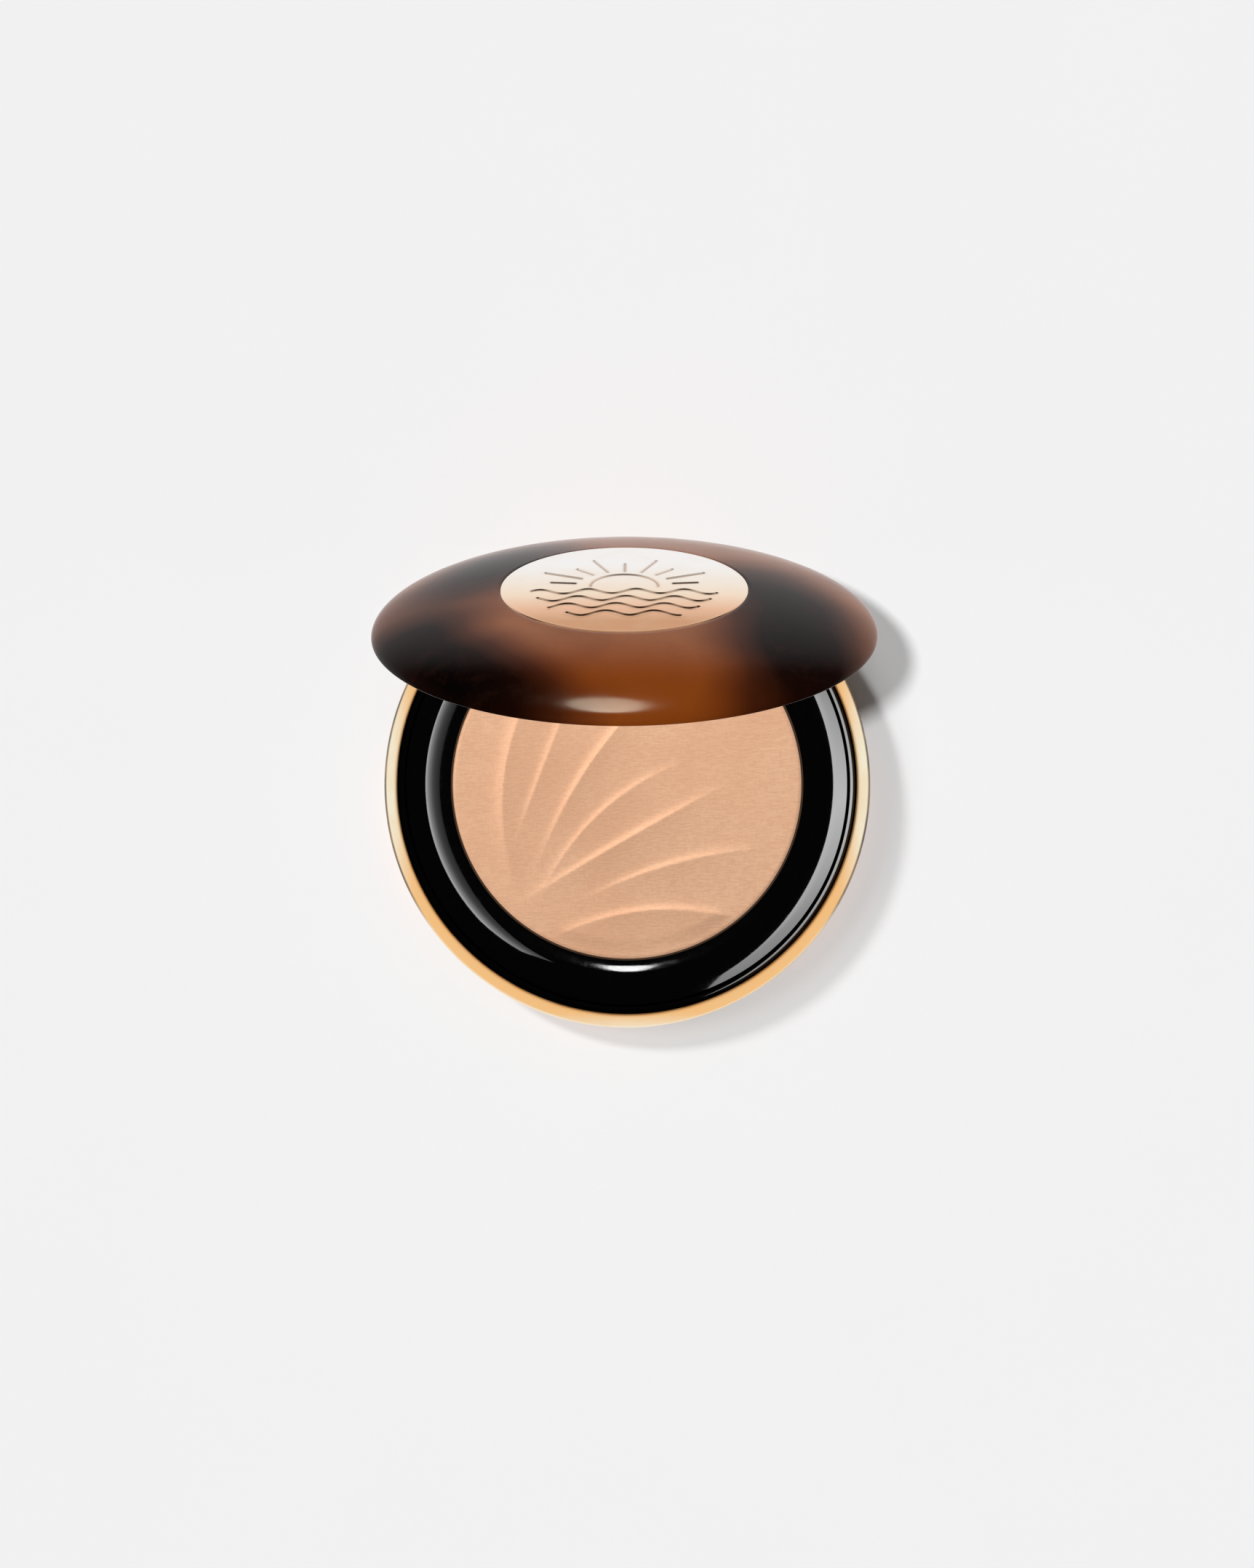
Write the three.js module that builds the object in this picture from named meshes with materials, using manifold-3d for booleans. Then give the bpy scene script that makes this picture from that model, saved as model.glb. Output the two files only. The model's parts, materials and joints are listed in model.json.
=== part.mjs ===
// Round pressed-powder compact: a pebble-shaped case with a hinged lid, a mirror in the lid
// and a pan of pressed powder in the base. Millimetres, +Z up, +X to the right, -Y to the
// user. The origin is the centre of the flat foot. The lid stands open on its hinge.

import * as THREE from 'three';
import { mergeVertices } from 'three/addons/utils/BufferGeometryUtils.js';
import Module from 'manifold-3d';

const wasm = await Module();
wasm.setup();

// ---- driving dimensions ----
const CASE_R = 39;            // largest radius of lid and gold band
const FOOT_R = 27;            // flat face that the case stands on
const GAP = 0.3;              // running gap between neighbouring parts
const FILM_GAP = 0.1;         // gap on each side of a glue film
const HINGE_Y = 36;           // hinge axis, along X
const HINGE_Z = 9.5;
const LID_OPEN = THREE.MathUtils.degToRad(66);

const BAND_INNER_R = 36.85;   // gold band: steep upper face, rounded below
const BAND_TOP_Z = 8.9;
const BAND_WIDEST_Z = 6;
const BAND_LOW_Z = 4.1;
const SHELL_TOP_Z = 3.8;      // tortoiseshell bottom shell
const SHELL_TOP_R = 37.8;
const SHELL_WALL = 1.2;
const LABEL_R = 18;           // paper label let into the foot
const LABEL_SEAT = 0.5;
const LABEL_THICK = 0.25;
const WEIGHT_R = 26;          // steel disc that steadies the base
const WEIGHT_HOLE_R = 5;
const WEIGHT_THICK = 1.2;

const HOUSING_R = 36.5;       // black inner housing with the hinge knuckles
const HOUSING_TOP_Z = 8.9;
const HOUSING_FLOOR_Z = 3.3;
const HOUSING_WALL = 0.8;
const HOUSING_INNER_R = 35.65;
const LEDGE_Z = 6.3;
const LEDGE_R = 33.5;

const BEZEL_R = 35.3;         // crowned black ring round the powder
const BEZEL_EDGE_Z = 8.4;
const CREST_R = 32.4;
const CREST_Z = 9.6;
const CONE_R = 34.9;
const CONE_Z = 8.9;
const WELL_R = 28.3;
const WELL_EDGE_Z = 7.9;
const SKIRT_R = 29.4;         // the well wall reaches down inside the housing
const SKIRT_Z = 5.4;

const PAN_R = 28;             // metal pan and its powder
const PAN_FLOOR_Z = 4.6;
const PAN_RIM_Z = 7.3;
const PAN_WALL = 0.35;
const ADHESIVE_R = 24;
const POWDER_TOP_Z = 7.8;

const LID_Z = HINGE_Z + 0.8;  // widest plane of the lid when it is shut
const LID_RIM_DEPTH = 1;
const DOME_HEIGHT = 8.6;
const DOME_POWER = 1.8;
const LID_INNER_R = 37;
const LID_CEILING = 4.2;
const MEDALLION_R = 19;
const MEDALLION_SEAT = 5.6;   // recess floor, above the widest plane
const MEDALLION_LIFT = 0.5;   // glue space under the medallion
const MIRROR_R = 30.4;
const MIRROR_FACE = 0.2;      // mirror face, above the widest plane
const MIRROR_THICK = 1.15;
const MIRROR_RECESS = 1.75;
const LINER_R = 36.6;

const BARREL_R = 1.75;        // hinge knuckles and pins
const BARREL_HALF = 5.7;
const KNUCKLE_IN = 6;
const KNUCKLE_OUT = 9.4;
const PIN_R = 0.58;
const PIN_HOLE_R = 0.86;
const PIN_IN = 2.6;
const PIN_OUT = 9.1;
const NOTCH_HALF = 9.8;       // opening at the back for the hinge
const NOTCH_Z = 7.1;
const HOUSING_NOTCH_Y = 33.6;
const BEZEL_NOTCH_Y = 33.5;
const SCOOP_HALF = 19;        // hollow that the lid's back edge turns into
const SCOOP_R = 4.15;
const RELIEF_HALF = 16.6;     // the lid's back is cut away this far each side
const LID_STOP = THREE.MathUtils.degToRad(46);

const MAGNET_R = 1.5;         // closing magnets, one pair each side of the front
const MAGNET_X = 8;
const MAGNET_RING_R = 32.9;
const MAGNET_Y = -Math.sqrt(MAGNET_RING_R ** 2 - MAGNET_X ** 2);
const BASE_MAGNET_Z = 7;
const BASE_MAGNET_TOP = 8.3;
const LID_MAGNET_Z = LID_Z + 0.6;
const LID_MAGNET_TOP = LID_Z + 1.5;
const POCKET_GAP = 0.2;       // room over a base magnet

const FINE = 64;              // steps round a large turned part
const MEDIUM = 48;            // steps round a hidden flat disc
const COARSE = 24;            // steps round a small one
const WIDE = 60;              // half size of a cutting block

// ---- colours ----
const finish = (color, roughness, metalness) => () =>
  new THREE.MeshStandardMaterial({ color, roughness, metalness });
const tortoiseshell = finish(0x5a2c12, 0.12, 0);
const gold = finish(0xe8b878, 0.22, 1);
const blackPlastic = finish(0x121214, 0.15, 0);
const powderCake = finish(0xe3b28a, 0.9, 0);
const steel = finish(0x9a9da0, 0.35, 1);
const aluminium = finish(0xb9b5ae, 0.4, 1);
const silvered = finish(0xe6eaec, 0.03, 1);
const glue = finish(0xd8d6cf, 0.6, 0);
const labelFilm = finish(0xd9c7a8, 0.5, 0);

// ---- solids ----
function signedVolume(points, triangles) {
  const corner = (i) => new THREE.Vector3().fromArray(points, 3 * i);
  let sum = 0;
  for (let t = 0; t < triangles.length; t += 3) {
    const [a, b, c] = [0, 1, 2].map((k) => corner(triangles[t + k]));
    sum += a.dot(b.cross(c));
  }
  return sum / 6;
}

function solid(geometry) {
  const bare = geometry.clone();
  bare.deleteAttribute('normal');
  bare.deleteAttribute('uv');
  const welded = mergeVertices(bare);
  const points = new Float32Array(welded.attributes.position.array);
  const triangles = [];
  for (let t = 0; t < welded.index.count; t += 3) {
    const [a, b, c] = [0, 1, 2].map((k) => welded.index.getX(t + k));
    if (a !== b && b !== c && c !== a) triangles.push(a, b, c);
  }
  if (signedVolume(points, triangles) < 0) triangles.reverse();
  const mesh = { numProp: 3, vertProperties: points, triVerts: new Uint32Array(triangles) };
  return new wasm.Manifold(new wasm.Mesh(mesh));
}

// A body of revolution about Z from [radius, z] corners; rings close on their first corner.
function turned(corners, steps = FINE) {
  const onAxis = corners[0][0] === 0;
  const outline = onAxis ? corners : [...corners, corners[0]];
  const lathe = new THREE.LatheGeometry(outline.map(([r, z]) => new THREE.Vector2(r, z)), steps);
  return solid(lathe.rotateX(Math.PI / 2));
}

const disc = (radius, low, high, steps = FINE) =>
  turned([[0, low], [radius, low], [radius, high], [0, high]], steps);

function block([x0, x1], [y0, y1], [z0, z1]) {
  const box = new THREE.BoxGeometry(x1 - x0, y1 - y0, z1 - z0);
  return solid(box.translate((x0 + x1) / 2, (y0 + y1) / 2, (z0 + z1) / 2));
}

// A cylinder on the hinge axis.
function hingeRod(radius, x0, x1) {
  const rod = new THREE.CylinderGeometry(radius, radius, x1 - x0, COARSE).rotateZ(Math.PI / 2);
  return solid(rod.translate((x0 + x1) / 2, HINGE_Y, HINGE_Z));
}

// Corners along an elliptical arc; angles in degrees.
function arc(centreR, centreZ, halfR, halfZ, from, to, steps) {
  const corners = [];
  for (let i = 0; i <= steps; i++) {
    const angle = THREE.MathUtils.degToRad(from + ((to - from) * i) / steps);
    corners.push([centreR + halfR * Math.cos(angle), centreZ + halfZ * Math.sin(angle)]);
  }
  return corners;
}

const bothSides = (make) => [-1, 1].map(make);
const joined = (base, extras) => extras.reduce((sum, extra) => sum.add(extra), base);
const cut = (base, tools) => tools.reduce((sum, tool) => sum.subtract(tool), base);

const base = new THREE.Group();
const lid = new THREE.Group();

function place(group, name, material, body) {
  const { vertProperties, triVerts } = body.getMesh();
  const geometry = new THREE.BufferGeometry();
  geometry.setAttribute('position', new THREE.BufferAttribute(vertProperties, 3));
  geometry.setIndex(new THREE.BufferAttribute(triVerts, 1));
  geometry.computeVertexNormals();
  const mesh = new THREE.Mesh(geometry, material());
  mesh.name = name;
  group.add(mesh);
}

// ---- lower case ----
function baseShell() {
  const side = SHELL_TOP_R - FOOT_R;
  const wall = SHELL_WALL;
  const outside = arc(FOOT_R, SHELL_TOP_Z, side, SHELL_TOP_Z, -90, 0, 7);
  const inside = arc(FOOT_R, SHELL_TOP_Z, side - wall, SHELL_TOP_Z - wall, 0, -90, 4);
  const bowl = turned([[0, 0], ...outside, ...inside, [0, wall]]);
  return bowl.subtract(disc(LABEL_R + GAP, -1, LABEL_SEAT));
}
place(base, 'bottom_shell', tortoiseshell, baseShell());

const LABEL_TOP = LABEL_SEAT - FILM_GAP;
place(base, 'bottom_label', labelFilm, disc(LABEL_R, LABEL_TOP - LABEL_THICK, LABEL_TOP, MEDIUM));

// The lid's back edge swings down through this scoop behind the hinge axis.
function lidScoop() {
  const ball = new THREE.SphereGeometry(1, 32, 20).rotateZ(Math.PI / 2);
  const scoop = solid(ball.scale(SCOOP_HALF, SCOOP_R, SCOOP_R).translate(0, HINGE_Y, HINGE_Z));
  return scoop.intersect(block([-WIDE, WIDE], [HINGE_Y, HINGE_Y + WIDE], [0, WIDE]));
}

function goldBand() {
  const width = CASE_R - BAND_INNER_R;
  const under = arc(BAND_INNER_R, BAND_WIDEST_Z, width, BAND_WIDEST_Z - BAND_LOW_Z, -90, 0, 5);
  const ring = turned([...under, [38.9, 6.5], [38.55, 7.1], [37.02, BAND_TOP_Z],
    [BAND_INNER_R, BAND_TOP_Z - 0.1]]);
  const hingeGap = block([-NOTCH_HALF, NOTCH_HALF], [HINGE_Y - 3, WIDE], [NOTCH_Z, WIDE]);
  return cut(ring, [lidScoop(), hingeGap]);
}
place(base, 'gold_band', gold, goldBand());

// ---- weight under the housing ----
const WEIGHT_Z = SHELL_WALL + GAP;
place(base, 'weight_plate', steel, cut(disc(WEIGHT_R, WEIGHT_Z, WEIGHT_Z + WEIGHT_THICK, MEDIUM),
  [disc(WEIGHT_HOLE_R, 0, HOUSING_FLOOR_Z, COARSE)]));

// ---- inner housing with the two base knuckles ----
function knuckle(side) {
  const [x0, x1] = [side * KNUCKLE_IN, side * KNUCKLE_OUT].sort((a, b) => a - b);
  const leg = block([x0, x1], [HINGE_Y - BARREL_R, HINGE_Y], [LEDGE_Z - 1, HINGE_Z]);
  const tub = disc(HOUSING_R, 0, HINGE_Z + BARREL_R);
  return leg.intersect(tub).add(hingeRod(BARREL_R, x0, x1));
}

function innerHousing() {
  const floorTop = HOUSING_FLOOR_Z + HOUSING_WALL;
  const lip = [[HOUSING_R, 8.5], [36.3, 8.75], [35.95, HOUSING_TOP_Z],
    [HOUSING_INNER_R, HOUSING_TOP_Z]];
  const bowl = turned([[0, HOUSING_FLOOR_Z], [33.2, HOUSING_FLOOR_Z], [36.2, 4.3],
    [HOUSING_R, 4.8], ...lip, [HOUSING_INNER_R, LEDGE_Z], [LEDGE_R, LEDGE_Z],
    [LEDGE_R, floorTop], [0, floorTop]]);
  const notch = block([-NOTCH_HALF, NOTCH_HALF], [HOUSING_NOTCH_Y, WIDE], [NOTCH_Z, WIDE]);
  const pinHole = hingeRod(PIN_HOLE_R, -WIDE, WIDE);
  return cut(joined(cut(bowl, [notch, lidScoop()]), bothSides(knuckle)), [pinHole]);
}
place(base, 'inner_housing', blackPlastic, innerHousing());

// ---- bezel ring ----
const magnetAt = (side, radius, low, high) =>
  disc(radius, low, high, COARSE).translate([side * MAGNET_X, MAGNET_Y, 0]);

const BEZEL_FLOOR_Z = LEDGE_Z + GAP;
function bezelRing() {
  const crown = [[BEZEL_R, BEZEL_EDGE_Z], [35.2, 8.7], [CONE_R, CONE_Z], [CREST_R, CREST_Z]];
  const dish = [[30.2, 8.62], [WELL_R + 0.3, WELL_EDGE_Z], [WELL_R, WELL_EDGE_Z - 0.3]];
  const ring = turned([[BEZEL_R, BEZEL_FLOOR_Z], ...crown, ...dish, [WELL_R, SKIRT_Z],
    [SKIRT_R, SKIRT_Z], [SKIRT_R, BEZEL_FLOOR_Z]]);
  const notchHalf = NOTCH_HALF + GAP;
  const notch = block([-notchHalf, notchHalf], [BEZEL_NOTCH_Y, WIDE], [0, WIDE]);
  const pocketTop = BASE_MAGNET_TOP + POCKET_GAP;
  const pockets = bothSides((side) => magnetAt(side, MAGNET_R + GAP, 0, pocketTop));
  return cut(ring, [notch, ...pockets]);
}
place(base, 'bezel_ring', blackPlastic, bezelRing());
for (const [side, word] of [[-1, 'left'], [1, 'right']]) {
  place(base, `base_magnet_${word}`, steel,
    magnetAt(side, MAGNET_R, BASE_MAGNET_Z, BASE_MAGNET_TOP));
}

// ---- pan and powder ----
place(base, 'pan_adhesive', glue, disc(ADHESIVE_R,
  HOUSING_FLOOR_Z + HOUSING_WALL + FILM_GAP, PAN_FLOOR_Z - FILM_GAP, MEDIUM));

function pan() {
  const inner = PAN_R - PAN_WALL;
  const floorTop = PAN_FLOOR_Z + PAN_WALL;
  return turned([[0, PAN_FLOOR_Z], [PAN_R - 0.4, PAN_FLOOR_Z], [PAN_R, PAN_FLOOR_Z + 0.4],
    [PAN_R, PAN_RIM_Z], [inner, PAN_RIM_Z], [inner, floorTop], [0, floorTop]]);
}
place(base, 'powder_pan', aluminium, pan());

function powder() {
  const radius = PAN_R - PAN_WALL - FILM_GAP;
  const low = PAN_FLOOR_Z + PAN_WALL + FILM_GAP;
  return turned([[0, low], [radius, low], [radius, POWDER_TOP_Z - 0.3],
    [radius - 0.4, POWDER_TOP_Z], [0, POWDER_TOP_Z]]);
}
place(base, 'pressed_powder', powderCake, powder());

// ---- hinge pins, pressed into the base knuckles ----
for (const [side, word] of [[-1, 'left'], [1, 'right']]) {
  const ends = [side * PIN_IN, side * PIN_OUT].sort((a, b) => a - b);
  place(base, `hinge_pin_${word}`, steel, hingeRod(PIN_R, ...ends));
}

// ---- lid, drawn shut and then swung open ----
const domeAt = (radius, height, outerRadius) =>
  height * (1 - (radius / outerRadius) ** DOME_POWER) ** (1 / DOME_POWER);

// Corners of a dome from its rim towards the middle; heights are above the widest plane.
function dome(outerRadius, height, toRadius, steps) {
  const corners = [];
  for (let i = 0; i <= steps; i++) {
    const radius = outerRadius - (outerRadius - toRadius) * (i / steps) ** 2;
    corners.push([radius, LID_Z + domeAt(radius, height, outerRadius)]);
  }
  return corners;
}

// Everything behind the hinge axis and below the stop angle is open for the swing.
function backRelief() {
  const wedge = block([-RELIEF_HALF, RELIEF_HALF], [0, WIDE], [-WIDE, 0]);
  const tilt = THREE.MathUtils.radToDeg(LID_STOP);
  const behind = block([-WIDE, WIDE], [HINGE_Y, WIDE], [0, WIDE]);
  return wedge.rotate([tilt, 0, 0]).translate([0, HINGE_Y, HINGE_Z]).intersect(behind);
}
const lidPocket = hingeRod(BARREL_R + GAP, -NOTCH_HALF, NOTCH_HALF);

function lidShell() {
  const rimZ = LID_Z - LID_RIM_DEPTH;
  const seatR = MEDALLION_R + GAP;
  const outside = dome(CASE_R, DOME_HEIGHT, seatR, 9);
  const inside = dome(LID_INNER_R, 5.6, 22, 5).reverse();
  const shell = turned([[0, LID_Z + LID_CEILING], ...inside, [LID_INNER_R, rimZ],
    [38.4, rimZ], [38.8, LID_Z - 0.55], ...outside, [seatR, LID_Z + MEDALLION_SEAT],
    [0, LID_Z + MEDALLION_SEAT]]);
  return cut(shell, [backRelief(), lidPocket]);
}
place(lid, 'lid_shell', tortoiseshell, lidShell());

// ---- medallion on its glue film ----
const MEDALLION_Z = LID_Z + MEDALLION_SEAT + MEDALLION_LIFT;
place(lid, 'medallion_tape', glue, disc(MEDALLION_R - 1,
  LID_Z + MEDALLION_SEAT + FILM_GAP, MEDALLION_Z - FILM_GAP, MEDIUM));

function medallion() {
  const rimZ = LID_Z + domeAt(MEDALLION_R, DOME_HEIGHT, CASE_R);
  return turned([[0, MEDALLION_Z], [MEDALLION_R, MEDALLION_Z], [MEDALLION_R, rimZ - 0.1],
    [MEDALLION_R - 0.15, rimZ], [MEDALLION_R - 0.8, rimZ], [12, rimZ + 0.2], [0, rimZ + 0.35]]);
}
place(lid, 'lid_medallion', gold, medallion());

// ---- liner that closes the lid, with the middle hinge barrel ----
function lidLiner() {
  const low = LID_Z - 0.85;
  const backZ = LID_Z + 2.5;
  const seatZ = LID_Z + MIRROR_RECESS;
  const seatR = MIRROR_R + 0.35;
  const plate = turned([[0, seatZ], [seatR, seatZ], [seatR, LID_Z], [34, LID_Z], [34.9, low],
    [LINER_R, low], [LINER_R, LID_Z - 0.1], [35.6, LID_Z + 0.85], [33.6, LID_Z + 1.5],
    [30.5, LID_Z + 2.3], [29, backZ], [0, backZ]]);
  const barrel = hingeRod(BARREL_R, -BARREL_HALF, BARREL_HALF);
  const clearances = bothSides((side) => {
    const ends = [side * (KNUCKLE_IN - 0.15), side * NOTCH_HALF].sort((a, b) => a - b);
    return hingeRod(BARREL_R + GAP, ...ends);
  });
  const pockets = bothSides((side) => magnetAt(side, MAGNET_R + GAP, LID_Z + 0.5, LID_Z + 4));
  return cut(plate, [...clearances, ...pockets]).add(barrel).subtract(
    hingeRod(PIN_HOLE_R, -WIDE, WIDE));
}
place(lid, 'lid_liner', blackPlastic, lidLiner());
for (const [side, word] of [[-1, 'left'], [1, 'right']]) {
  place(lid, `lid_magnet_${word}`, steel,
    magnetAt(side, MAGNET_R, LID_MAGNET_Z, LID_MAGNET_TOP));
}

// ---- mirror on its glue film ----
const MIRROR_BACK = LID_Z + MIRROR_FACE + MIRROR_THICK;
place(lid, 'mirror', silvered, disc(MIRROR_R, LID_Z + MIRROR_FACE, MIRROR_BACK));
place(lid, 'mirror_tape', glue, disc(MIRROR_R - 2, MIRROR_BACK + FILM_GAP,
  LID_Z + MIRROR_RECESS - FILM_GAP, MEDIUM));

// ---- assembly: the lid turns about the hinge axis ----
lid.children.forEach((piece) => piece.position.set(0, -HINGE_Y, -HINGE_Z));
lid.position.set(0, HINGE_Y, HINGE_Z);
lid.rotation.x = -LID_OPEN;

const compact = new THREE.Group();
compact.add(base, lid);
export default compact;
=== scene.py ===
import json
import math

import bmesh
import bpy
import numpy as np
from mathutils import Matrix, Vector


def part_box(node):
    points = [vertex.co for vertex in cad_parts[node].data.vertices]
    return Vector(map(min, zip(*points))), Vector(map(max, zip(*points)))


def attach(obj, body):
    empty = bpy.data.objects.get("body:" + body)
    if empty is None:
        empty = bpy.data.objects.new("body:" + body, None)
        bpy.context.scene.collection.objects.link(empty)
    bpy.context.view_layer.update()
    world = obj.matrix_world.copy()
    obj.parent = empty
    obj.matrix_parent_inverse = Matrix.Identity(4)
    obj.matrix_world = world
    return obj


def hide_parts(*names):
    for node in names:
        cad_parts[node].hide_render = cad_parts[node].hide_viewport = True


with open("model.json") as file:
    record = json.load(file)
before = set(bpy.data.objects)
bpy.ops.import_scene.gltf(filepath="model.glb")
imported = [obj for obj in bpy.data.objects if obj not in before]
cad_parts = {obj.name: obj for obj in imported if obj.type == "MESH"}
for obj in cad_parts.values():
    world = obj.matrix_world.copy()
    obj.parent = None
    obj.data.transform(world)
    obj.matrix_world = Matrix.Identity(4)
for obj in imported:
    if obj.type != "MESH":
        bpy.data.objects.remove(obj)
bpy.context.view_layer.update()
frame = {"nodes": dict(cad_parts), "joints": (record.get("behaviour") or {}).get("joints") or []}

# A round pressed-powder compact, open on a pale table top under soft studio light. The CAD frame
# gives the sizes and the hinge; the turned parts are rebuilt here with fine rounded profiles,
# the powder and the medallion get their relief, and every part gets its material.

# ---- driving dimensions, in millimetres ----
MM = 0.001
JOINT = frame["joints"][0]
HINGE_Y, HINGE_Z = (1000 * v for v in JOINT["pos_m"][1:])
LID_OPEN = math.radians(-JOINT["range_deg"][0])
BACK_TILT = math.radians(46)  # slant of the flat cut that clears the lid's back edge


def box_mm(node):
    low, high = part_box(node)
    return [1000 * v for v in low], [1000 * v for v in high]


CASE_R = box_mm("gold_band")[1][0]
LID_Z = HINGE_Z + 0.8         # widest plane of the lid when it is shut
DOME_HEIGHT = 8.6
DOME_POWER = 1.8
MEDALLION_R = box_mm("lid_medallion")[1][0]
MEDALLION_SEAT = 5.6
MIRROR_R = box_mm("mirror")[1][0]
LINER_R = box_mm("lid_liner")[1][0]
LID_INNER_R = 37
BARREL_R = 1.75
BARREL_HALF = 5.7
HINGE_PLAY = 0.3              # clearance round the hinge barrel
KNUCKLE_IN = 6
KNUCKLE_OUT = 9.4
NOTCH_HALF = 9.8
NOTCH_Z = 7.1
NOTCH_Y = 33.6
PIN_HOLE_R = 0.86
BAND_INNER_R = 36.62
HOUSING_R = 36.5
HOUSING_INNER_R = 35.65
BEZEL_R = 35.3
BEZEL_SEAT = 6.6
POWDER_R = 27.9
POWDER_TOP = 7.5
PAN_R = 28.2
ROUND = 256                   # steps round a large turned part
FINE_ROUND = 320              # steps round the parts that show most
ROD_STEPS = 64
WIDE = 60                     # half size of a cutting block
SHARP = math.radians(35)      # edges that turn more than this stay crisp

# ---- outlines: lists of [radius, height] corners ----


def arc(centre, radius, start, end, steps=8):
    """Corners along a circular arc; angles in degrees."""
    angles = np.radians(np.linspace(start, end, steps + 1))
    return [[centre[0] + radius * math.cos(a), centre[1] + radius * math.sin(a)] for a in angles]


def rounded(corners, radii, steps=6):
    """The outline with corners replaced by small arcs; a radius of 0 keeps the corner, and the
    two ends are always kept."""
    out = []
    for i, (corner, radius) in enumerate(zip(corners, radii)):
        here = Vector(corner).to_2d()
        if radius <= 0 or i in (0, len(corners) - 1):
            out.append(list(here))
            continue
        before = (Vector(corners[i - 1]).to_2d() - here).normalized()
        after = (Vector(corners[i + 1]).to_2d() - here).normalized()
        half = math.acos(max(-1, min(1, before.dot(after)))) / 2
        reach = radius / math.tan(half)
        start, end = here + before * reach, here + after * reach
        centre = here + (before + after).normalized() * radius / math.sin(half)
        a0 = math.atan2(*(start - centre).yx)
        turn = math.remainder(math.atan2(*(end - centre).yx) - a0, 2 * math.pi)
        for k in range(steps + 1):
            a = a0 + turn * k / steps
            out.append([centre.x + radius * math.cos(a), centre.y + radius * math.sin(a)])
    return out


def sloped(start, stops):
    """Corners outward from start, following stops of (radius, tilt in degrees) whose tilt is
    blended from one stop to the next."""
    out = [list(start)]
    reach = [r for r, _ in stops]
    tilts = [t for _, t in stops]
    for r in np.linspace(reach[0], reach[-1], 36)[1:]:
        last_r, last_z = out[-1]
        tilt = math.radians(float(np.interp((r + last_r) / 2, reach, tilts)))
        out.append([float(r), last_z + math.tan(tilt) * (r - last_r)])
    return out


# ---- mesh building ----


def new_object(name, mesh):
    piece = bpy.data.objects.new(name, mesh)
    bpy.context.scene.collection.objects.link(piece)
    return piece


def from_bmesh(name, bm, sharp=SHARP):
    bmesh.ops.recalc_face_normals(bm, faces=bm.faces)
    mesh = bpy.data.meshes.new(name)
    bm.to_mesh(mesh)
    bm.free()
    mesh.polygons.foreach_set("use_smooth", [True] * len(mesh.polygons))
    mesh.set_sharp_from_angle(angle=sharp)
    return new_object(name, mesh)


def add_turned(bm, outline, steps):
    """Adds a closed body of revolution: the outline starts and ends on the axis, or is a ring."""
    rows = []
    for radius, height in outline:
        if radius < 1e-6:
            rows.append([bm.verts.new((0, 0, height * MM))])
            continue
        ring = []
        for k in range(steps):
            a = 2 * math.pi * k / steps
            ring.append(bm.verts.new((radius * math.cos(a) * MM, radius * math.sin(a) * MM,
                                      height * MM)))
        rows.append(ring)
    pairs = list(zip(rows, rows[1:]))
    if len(rows[0]) > 1:
        pairs.append((rows[-1], rows[0]))
    for lower, upper in pairs:
        if len(lower) == len(upper) == 1:
            continue
        for k in range(steps):
            n = (k + 1) % steps
            corners = [lower[k % len(lower)], lower[n % len(lower)],
                       upper[n % len(upper)], upper[k % len(upper)]]
            bm.faces.new(list(dict.fromkeys(corners)))


def turned(name, outline, steps=ROUND, sharp=SHARP):
    bm = bmesh.new()
    add_turned(bm, outline, steps)
    return from_bmesh(name, bm, sharp)


def rod(name, radius, x0, x1, edge=0.12):
    """A rod on the hinge axis; edge is how far its ends are rounded."""
    bm = bmesh.new()
    outline = rounded([[0, x0], [radius, x0], [radius, x1], [0, x1]], [0, edge, edge, 0],
                      steps=4)
    add_turned(bm, outline, ROD_STEPS)
    turn = Matrix.Translation((0, HINGE_Y * MM, HINGE_Z * MM)) @ Matrix.Rotation(
        math.pi / 2, 4, "Y")
    bm.transform(turn)
    return from_bmesh(name, bm)


def block(name, low, high):
    bm = bmesh.new()
    bmesh.ops.create_cube(bm, size=1)
    size = [(b - a) * MM for a, b in zip(low, high)]
    middle = [(a + b) / 2 * MM for a, b in zip(low, high)]
    bm.transform(Matrix.Translation(middle) @ Matrix.Diagonal((*size, 1)))
    return from_bmesh(name, bm)


def boolean(piece, tool, operation, sharp=SHARP):
    """Joins, cuts or intersects piece with tool, and removes the tool."""
    step = piece.modifiers.new("cut", "BOOLEAN")
    step.object = tool
    step.operation = operation
    step.solver = "EXACT"
    bpy.context.view_layer.update()
    graph = bpy.context.evaluated_depsgraph_get()
    mesh = bpy.data.meshes.new_from_object(piece.evaluated_get(graph))
    piece.modifiers.clear()
    old = piece.data
    piece.data = mesh
    bpy.data.meshes.remove(old)
    bpy.data.objects.remove(tool)
    mesh.polygons.foreach_set("use_smooth", [True] * len(mesh.polygons))
    mesh.set_sharp_from_angle(angle=sharp)
    return piece


def cut(piece, *tools, sharp=SHARP):
    for tool in tools:
        boolean(piece, tool, "DIFFERENCE", sharp)
    return piece


def join(piece, *tools):
    for tool in tools:
        boolean(piece, tool, "UNION")
    return piece


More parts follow.
